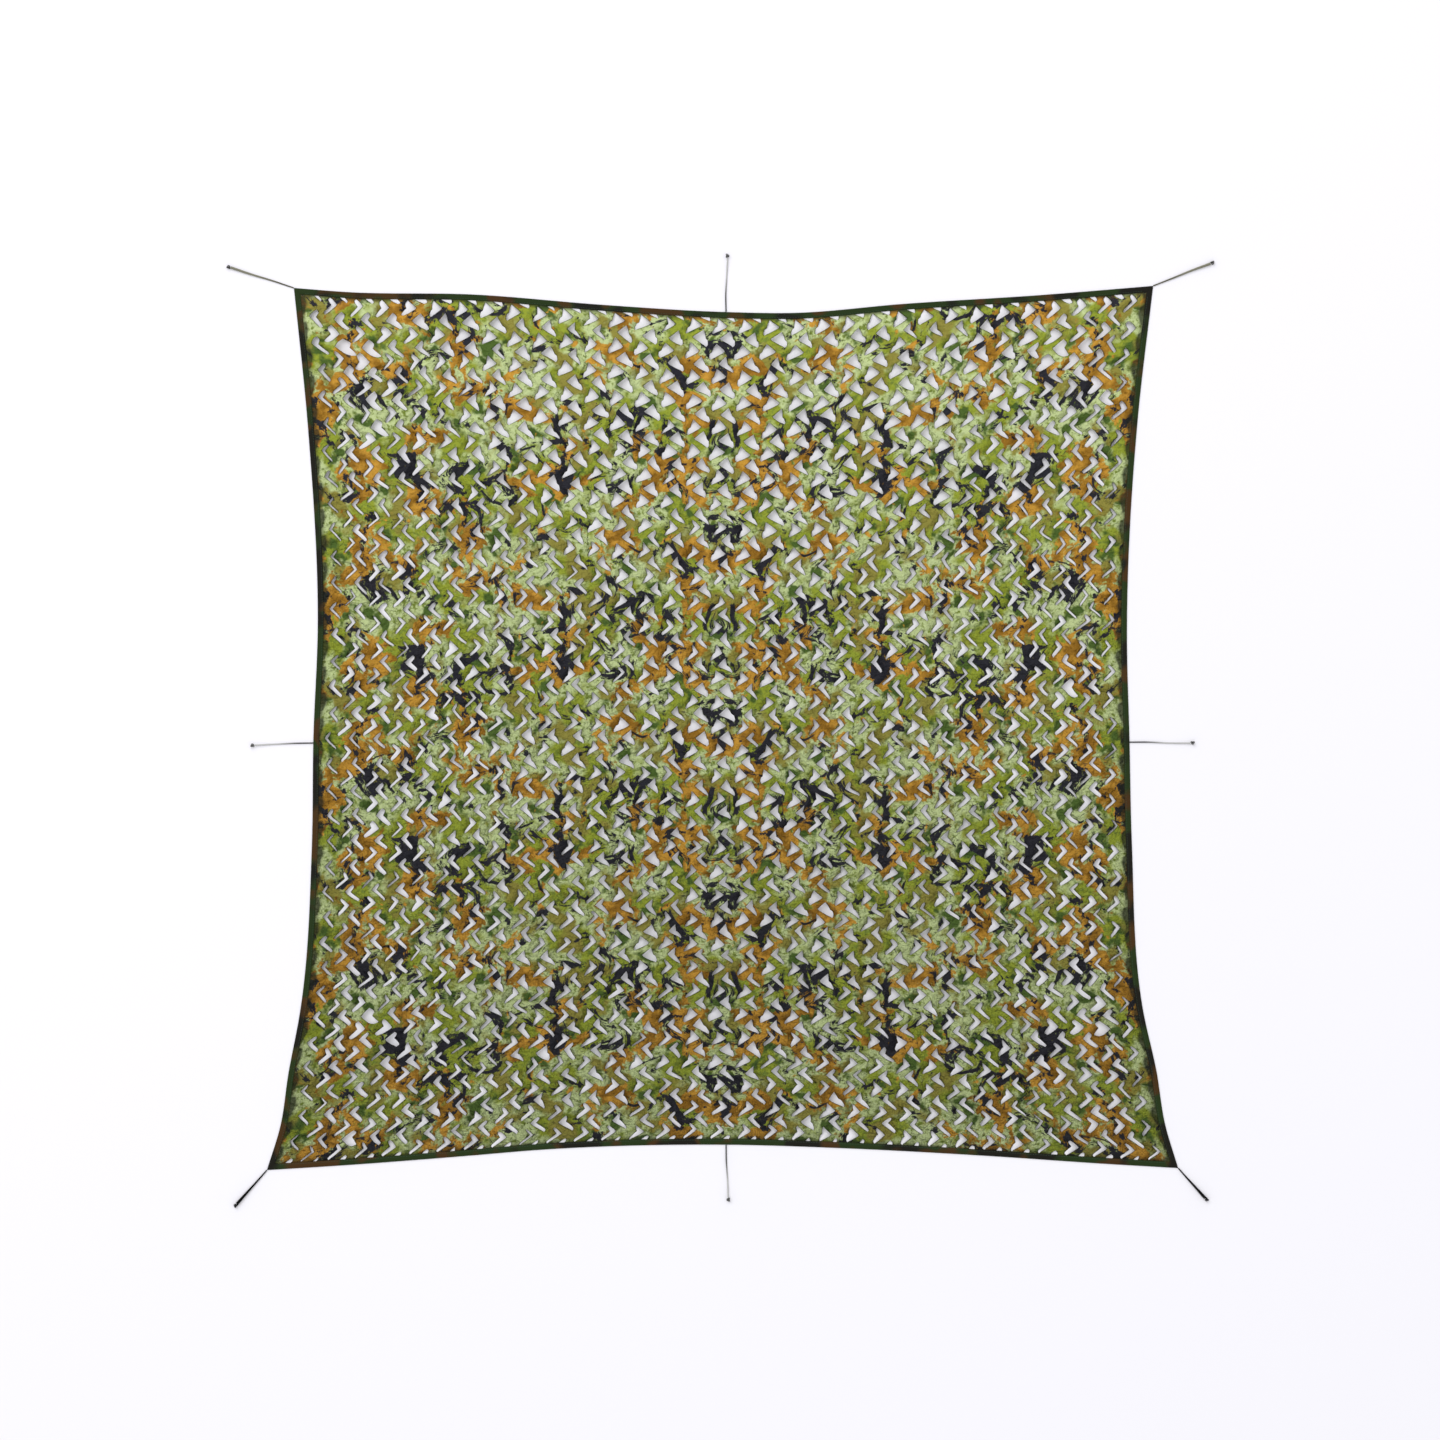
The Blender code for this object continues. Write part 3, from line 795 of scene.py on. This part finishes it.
# Below its middle the net stands highest.
raised = np.exp(-(((ground[:, 0] - 0.15) / 0.8) ** 2) - ((ground[:, 1] + 0.65) / 0.45) ** 2)
stand *= 1 + 0.35 * raised
folds = np.minimum(np.hypot(0.8 * solid_height(across, up), stand), HIGHEST_FOLD)
lift = folds + pucker + RIM_RISE * rim_near - dip
height = np.maximum(0.3 * MM, HEM_HEIGHT * (1 - loose) + lift * loose)
sheet.data.vertices.foreach_set("co", np.column_stack([ground, height]).astype(np.float32).ravel())
print("cloth from", round(height.min() * 1000, 1), "to", round(height.max() * 1000, 1), "mm high")

# The place of each point on the uncut cloth, for the print.
place = sheet.data.attributes.new("cloth_place", "FLOAT_VECTOR", "POINT")
uncut = np.column_stack([(pulled_x - ACROSS / 2) * PERIOD, (up - 0.5) * depth, np.zeros(len(up))])
place.data.foreach_set("vector", uncut.astype(np.float32).ravel())
# How near each point is to a cut rim, or to the gathers beside the tape, where the cloth's colour is
# darkened as painted shade.
at_cut = sheet.data.attributes.new("at_cut", "FLOAT", "POINT")
beside_tape = np.clip(1.25 - (to_border - 0.010) / GATHER_SHADE, 0, 1)
at_cut.data.foreach_set("value", np.maximum(rim != 0, beside_tape).astype(np.float32))

# %% [markdown]
# ## Three widths
#
# The whole sheet would be over half a million triangles, so it is parted into three widths along the
# borders of the repeat. Each is then given its thickness, and becomes a closed skin. Only faces that
# meet at a sharp angle, along the cut rims, are shaded apart.

# %% Part the sheet and thicken it
CLOTH_THICK = 0.6 * MM
face_columns = np.empty(len(sheet.data.polygons) * 4, np.int32)
sheet.data.polygons.foreach_get("vertices", face_columns)
face_column = column[face_columns.reshape(-1, 4)].min(1)
THIRD = ACROSS // 3 * TILE_COLUMNS

widths = [sheet]
for name, first in (("net_cloth_right", 2 * THIRD), ("net_cloth_middle", THIRD)):
    only(sheet)
    bpy.ops.object.mode_set(mode="EDIT")
    bpy.ops.mesh.select_mode(type="FACE")
    bpy.ops.mesh.select_all(action="DESELECT")
    bpy.ops.object.mode_set(mode="OBJECT")
    sheet.data.polygons.foreach_set("select", face_column >= first)
    bpy.ops.object.mode_set(mode="EDIT")
    bpy.ops.mesh.separate(type="SELECTED")
    bpy.ops.object.mode_set(mode="OBJECT")
    face_column = face_column[face_column < first]
    parted = next(o for o in bpy.context.selected_objects if o != sheet)
    parted.name = name
    widths.append(parted)

for piece in widths:
    only(piece)
    shell = piece.modifiers.new("thickness", "SOLIDIFY")
    shell.thickness = CLOTH_THICK
    shell.offset = 1.0
    bpy.ops.object.modifier_apply(modifier=shell.name)
    bpy.ops.object.shade_smooth_by_angle(angle=math.radians(28))
    print(piece.name, "has", sum(len(p.vertices) - 2 for p in piece.data.polygons), "triangles")

# %% [markdown]
# ## The binding tape
#
# A woven tape 20 mm wide on each face is folded round the cloth's edge and sewn through. Its section is
# a flattened U with a round fold. It is carried along each edge of the outline, and puckers a little
# between its stitches.

# %% Tape
# The section: millimetres in from the fold, millimetres up.
TAPE_SECTION = (
    (20.0, 0.15), (2.2, 0.15), (0.9, 0.45), (0.2, 1.2), (0.2, 2.4), (0.9, 3.15), (2.2, 3.45),
    (11.0, 3.6), (19.6, 3.45), (20.0, 3.1), (19.6, 2.75), (11.0, 2.85), (2.6, 2.7), (1.3, 2.2),
    (1.3, 1.4), (2.6, 0.9), (20.0, 0.9),
)
TAPE_STEP = 0.011
TAPE_PUCKER = 0.5 * MM
TAPE_TOP = 3.5        # the top of the upper layer at the seam, in millimetres
SEAM_DEPTH = 15.5 * MM


def tape_lift(edge, share, depth_mm, height_mm):
    """How far the upper layer puckers at shares along an edge."""
    number = list(EDGES).index(edge)
    wave = ripple(share * 3.0, share * 0 + number, (0.31, 0.12, 0.052), 20 + number)
    upper = tidy_step((height_mm - 1.8) / 1.0) * tidy_step(depth_mm / 6.0)
    return TAPE_PUCKER * wave * upper


tapes = {}
for edge in EDGES:
    length = steps_along(outline(edge, line_share)).sum()
    shares = np.linspace(0, 1, math.ceil(length / TAPE_STEP) + 1)
    rings = [
        np.column_stack([
            inside(edge, shares, deep * MM),
            np.full(len(shares), high * MM) + tape_lift(edge, shares, deep, high),
        ])
        for deep, high in TAPE_SECTION
    ]
    points = np.stack(rings, axis=1)
    cap = np.arange(len(TAPE_SECTION))
    faces = ring_faces(len(shares), len(cap))
    faces += [cap.tolist(), (cap + (len(shares) - 1) * len(cap)).tolist()]
    tape = new_piece(f"tape_{edge}", points.reshape(-1, 3), faces)
    face_outwards(tape)
    bpy.ops.object.shade_smooth_by_angle(angle=math.radians(50))
    tapes[edge] = tape
    print(tape.name, round(length, 3), "m long")

# %% [markdown]
# ## The stitches
#
# One row of lockstitch runs along the tape, near its inner edge. A stitch is modelled once, as a short
# rounded bar pressed into the tape at both ends, and copied along each edge into one joined mesh.
# Real stitches are 4 mm long; these are drawn at 7 mm, so that the row still reads from above.

# %% Stitches
STITCH_PITCH = 9 * MM
SEAM_ENDS = (0.008, 0.992)    # shares of an edge at which its row of stitches starts and stops
STITCH_LENGTH, STITCH_WIDTH, STITCH_HEIGHT = 7 * MM, 1.1 * MM, 0.9 * MM
only(camera)
bpy.ops.mesh.primitive_uv_sphere_add(segments=8, ring_count=6, radius=0.5, location=(0, 0, 0))
stitch = bpy.context.object
only(stitch)
bpy.ops.transform.resize(value=(STITCH_LENGTH, STITCH_WIDTH, STITCH_HEIGHT))
bpy.ops.object.transform_apply(location=True, rotation=True, scale=True)
stitch_points = np.array([v.co for v in stitch.data.vertices])
stitch_faces = [list(p.vertices) for p in stitch.data.polygons]
bpy.data.objects.remove(stitch)

all_points, all_faces = [], []
for edge in EDGES:
    length = steps_along(outline(edge, line_share)).sum()
    shares = np.linspace(*SEAM_ENDS, int(length / STITCH_PITCH))
    middles, runs = inside(edge, shares, SEAM_DEPTH), heading(edge, shares)
    tops = TAPE_TOP * MM + tape_lift(edge, shares, SEAM_DEPTH / MM, TAPE_TOP)
    for (x, y), (dx, dy), z in zip(middles, runs, tops):
        turned = np.column_stack([
            x + stitch_points[:, 0] * dx - stitch_points[:, 1] * dy,
            y + stitch_points[:, 0] * dy + stitch_points[:, 1] * dx,
            z + stitch_points[:, 2],
        ])
        first = len(all_points) * len(stitch_points)
        all_faces += [[first + i for i in face] for face in stitch_faces]
        all_points.append(turned)
stitches = new_piece("tape_stitches", np.concatenate(all_points), all_faces)
only(stitches)
bpy.ops.object.shade_smooth()
print("stitches:", len(all_points))

# %% [markdown]
# ## The printed cloth
#
# The cloth is 210-denier polyester Oxford, screen-printed in a woodland camouflage and then coated, so
# it is nearly matt with a faint sheen. The print is a common one: sage and leaf green underneath, with
# rust-brown blotches over them and near-black branches on top. It repeats every 640 mm down the cloth,
# the girth of a printing screen, and is mirrored about the middle. To make a noise repeat, the cloth's
# height is wound round a cylinder of that girth before the noise reads it. Toward its bottom edge the net
# is more crumpled, so the depth of its creases changes along it. A painted light and shade also make the
# colour lighter toward the top and darker toward the bottom.

# %% Print
PRINT_REPEAT = 0.640
NET_REACH = 1.4    # metres from the net's middle to where its top and bottom tones are full


def print_place(material):
    """The place on the print: mirrored about the middle, and wound round a cylinder of the repeat."""
    at = add_node(material, "Attribute", attribute_name="cloth_place").outputs["Vector"]
    part = add_node(material, "SeparateXYZ", {0: at}).outputs
    across = math_node(material, "ABSOLUTE", part["X"])
    angle = math_node(material, "MULTIPLY", part["Y"], 2 * math.pi / PRINT_REPEAT)
    radius = PRINT_REPEAT / (2 * math.pi)
    round_x = math_node(material, "MULTIPLY", math_node(material, "COSINE", angle), radius)
    round_y = math_node(material, "MULTIPLY", math_node(material, "SINE", angle), radius)
    return add_node(material, "CombineXYZ", {"X": across, "Y": round_x, "Z": round_y}).outputs[0]


def noise(material, place, scale, detail=2.0, offset=(0, 0, 0), roughness=0.5, distortion=0.0):
    moved = add_node(material, "VectorMath", {0: place, 1: offset}, operation="ADD").outputs[0]
    values = {"Vector": moved, "Scale": scale, "Detail": detail, "Roughness": roughness}
    return add_node(material, "TexNoise", {**values, "Distortion": distortion}).outputs["Fac"]


def blotches(material, field, level, softness=0.012):
    """0 outside and 1 inside the places where a field is over a level."""
    return add_node(
        material, "MapRange",
        {"Value": field, "From Min": level - softness, "From Max": level + softness},
    ).outputs["Result"]


def over(material, mask, below, above):
    """One colour printed over another where a mask says."""
    mixed = add_node(material, "Mix", {0: mask}, data_type="RGBA")
    for socket, value in ((6, below), (7, above)):
        if isinstance(value, str):
            mixed.inputs[socket].default_value = colour(value)
        else:
            link(material, value, mixed.inputs[socket])
    return mixed.outputs[2]


cloth, shader = new_material(
    "woodland_printed_oxford_cloth", Roughness=0.65, Specular_IOR_Level=0.2, IOR=1.5,
)
at = print_place(cloth)


def ink(below, above, scale, level, softness=0.012, detail=3.0, offset=(0, 0, 0), rough=0.5, bent=0.0):
    """One ink of the print over what is below it, in the blotches of a noise."""
    field = noise(cloth, at, scale, detail, offset, rough, bent)
    return over(cloth, blotches(cloth, field, level, softness), below, above)


at_object = add_node(cloth, "TexCoord").outputs["Object"]
part_of_net = add_node(cloth, "SeparateXYZ", {0: at_object}).outputs


def along_net(at_bottom, at_top):
    """A value that goes evenly from the net's bottom edge to its top edge."""
    span = {"Value": part_of_net["Y"], "From Min": -NET_REACH, "From Max": NET_REACH}
    ends = {"To Min": at_bottom, "To Max": at_top}
    return add_node(cloth, "MapRange", {**span, **ends}).outputs["Result"]


leaf = ink("#7F8A26", "#A9B680", 8.5, 0.49, 0.04)
# Fine blotches of a darker green mottle the greens, and the brown is mottled in two tones.
leaf = ink(leaf, "#667529", 60.0, 0.58, 0.06, offset=(2.2, 4.1, 7.7), rough=0.6)
leaf = ink(leaf, "#3F551C", 13.0, 0.60, 0.03, offset=(3.1, 1.7, 0.4))
leaf = ink(leaf, "#7C7630", 11.0, 0.57, 0.04, offset=(5.7, 0.3, 2.6))
brown = ink("#7F590D", "#B0822A", 24.0, 0.50, 0.10, offset=(6.3, 9.2, 1.8))
leaf = ink(leaf, brown, 7.7, 0.557, detail=5.0, offset=(8.9, 3.1, 9.6), rough=0.62, bent=0.3)
leaf = ink(leaf, "#1A1A22", 10.5, 0.562, detail=6.0, offset=(7.7, 0.9, 5.2), rough=0.70, bent=0.8)
# Painted light and shade: the colour is made lighter toward the top edge and darker toward the bottom.
painted_light_falloff = add_node(cloth, "HueSaturation", {"Value": along_net(0.88, 1.17), "Color": leaf})
leaf = painted_light_falloff.outputs["Color"]
# Painted shade: the cut rims and the gathers beside the tape are darkened in the colour, for the shade they
# lie in.
edge_near = add_node(cloth, "Attribute", attribute_name="at_cut").outputs["Fac"]
painted_edge_shade = math_node(cloth, "MULTIPLY", math_node(cloth, "POWER", edge_near, 1.3), 0.85)
leaf = over(cloth, painted_edge_shade, leaf, "#12160A")
link(cloth, leaf, shader.inputs["Base Color"])
fine_creases = math_node(cloth, "MULTIPLY", noise(cloth, at_object, 85.0), 0.9)
creases = math_node(cloth, "ADD", noise(cloth, at_object, 38.0), fine_creases)
crease_depth = along_net(0.034, 0.009)
bump = add_node(cloth, "Bump", {"Height": creases, "Strength": 1.0, "Distance": crease_depth})
link(cloth, bump.outputs["Normal"], shader.inputs["Normal"])
for piece in widths:
    finish_piece(piece, cloth, "net_fabric", "net_cloth")

# %% Tape, thread and cords: materials
tape_cloth, shader = new_material("printed_polyester_tape", Roughness=0.75, Specular_IOR_Level=0.2, IOR=1.5)
at = add_node(tape_cloth, "TexCoord").outputs["Object"]
brown_part = blotches(tape_cloth, noise(tape_cloth, at, 7.0), 0.54, 0.03)
black_part = blotches(tape_cloth, noise(tape_cloth, at, 6.0, 2.0, (4, 4, 4)), 0.56, 0.03)
band = over(tape_cloth, brown_part, "#1B2C08", "#3C2606")
band = over(tape_cloth, black_part, band, "#0E0D04")
link(tape_cloth, band, shader.inputs["Base Color"])
for edge, tape in tapes.items():
    finish_piece(tape, tape_cloth, "binding_tape", f"binding_{edge}")

thread, shader = new_material("polyester_sewing_thread", Roughness=0.5, IOR=1.5)
shader.inputs["Base Color"].default_value = colour("#1C3A26")
finish_piece(stitches, thread, "binding_tape")

cord_finishes, knot_finishes = {}, {}
for name, inner, outer, shaded_knot_colour, gloss in (
    ("cord_olive", "#4A4838", "#737262", "#33312A", 0.3),
    ("cord_grey", "#303030", "#B0B0AE", "#585856", 0.3),
    ("cord_black", "#0A0A0A", "#050605", "#050505", 0.1),
):
    material, shader = new_material(f"braided_{name}", Roughness=0.7, Specular_IOR_Level=gloss, IOR=1.49)
    along = add_node(material, "Attribute", attribute_name="along").outputs["Fac"]
    fade_out = add_node(material, "MapRange", {"Value": along, "From Min": 0.05, "From Max": 0.12})
    faded = over(material, fade_out.outputs["Result"], inner, outer)
    link(material, faded, shader.inputs["Base Color"])
    cord_finishes[name] = material
    # A knot's colour is darker than its cord's: the shade between its lobes, painted.
    material, shader = new_material(f"knotted_{name}", Roughness=0.7, Specular_IOR_Level=gloss, IOR=1.49)
    shader.inputs["Base Color"].default_value = colour(shaded_knot_colour)
    knot_finishes[name] = material

for tie, (finish_name, _) in CORDS.items():
    finish_piece(cords[tie], cord_finishes[finish_name], finish_name, f"tie_cord_{tie}")
    finish_piece(knots[tie], knot_finishes[finish_name], finish_name, f"end_knot_{tie}")
    route, line = routes[tie], cord_lines[tie]

# %% [markdown]
# ## Floor and light
#
# A pale floor, a large soft light from beyond the top left corner and an even sky. The floor has a breath
# of lavender, which only shows in the shade under the net.

# %% Floor and light
FLOOR_SIZE = 40
KEY_WATTS = 2330
KEY_SIZE = 16.0
KEY_PLACE = (-8.0, 12.0, 16.0)
SKY_STRENGTH = 0.93

only(camera)
bpy.ops.mesh.primitive_plane_add(size=FLOOR_SIZE, location=(0, 0, 0))
floor = bpy.context.object
floor.name = "floor"
floor_paint, shader = new_material("matt_studio_floor", Roughness=0.9)
shader.inputs["Base Color"].default_value = colour("#E7E6EC")
floor.data.materials.append(floor_paint)

light = bpy.data.objects.new("key_light", bpy.data.lights.new("key_light", "AREA"))
bpy.context.scene.collection.objects.link(light)
light.data.energy = KEY_WATTS
light.data.size = KEY_SIZE
light.location = KEY_PLACE
light.rotation_mode = "QUATERNION"
light.rotation_quaternion = (Vector((0, 0, 0)) - light.location).to_track_quat("-Z", "Y")

world = bpy.data.worlds.new("sky")
bpy.context.scene.world = world
world.use_nodes = True
world.node_tree.nodes["Background"].inputs["Color"].default_value = (1, 1, 1, 1)
world.node_tree.nodes["Background"].inputs["Strength"].default_value = SKY_STRENGTH
bpy.context.scene.view_settings.view_transform = "Standard"
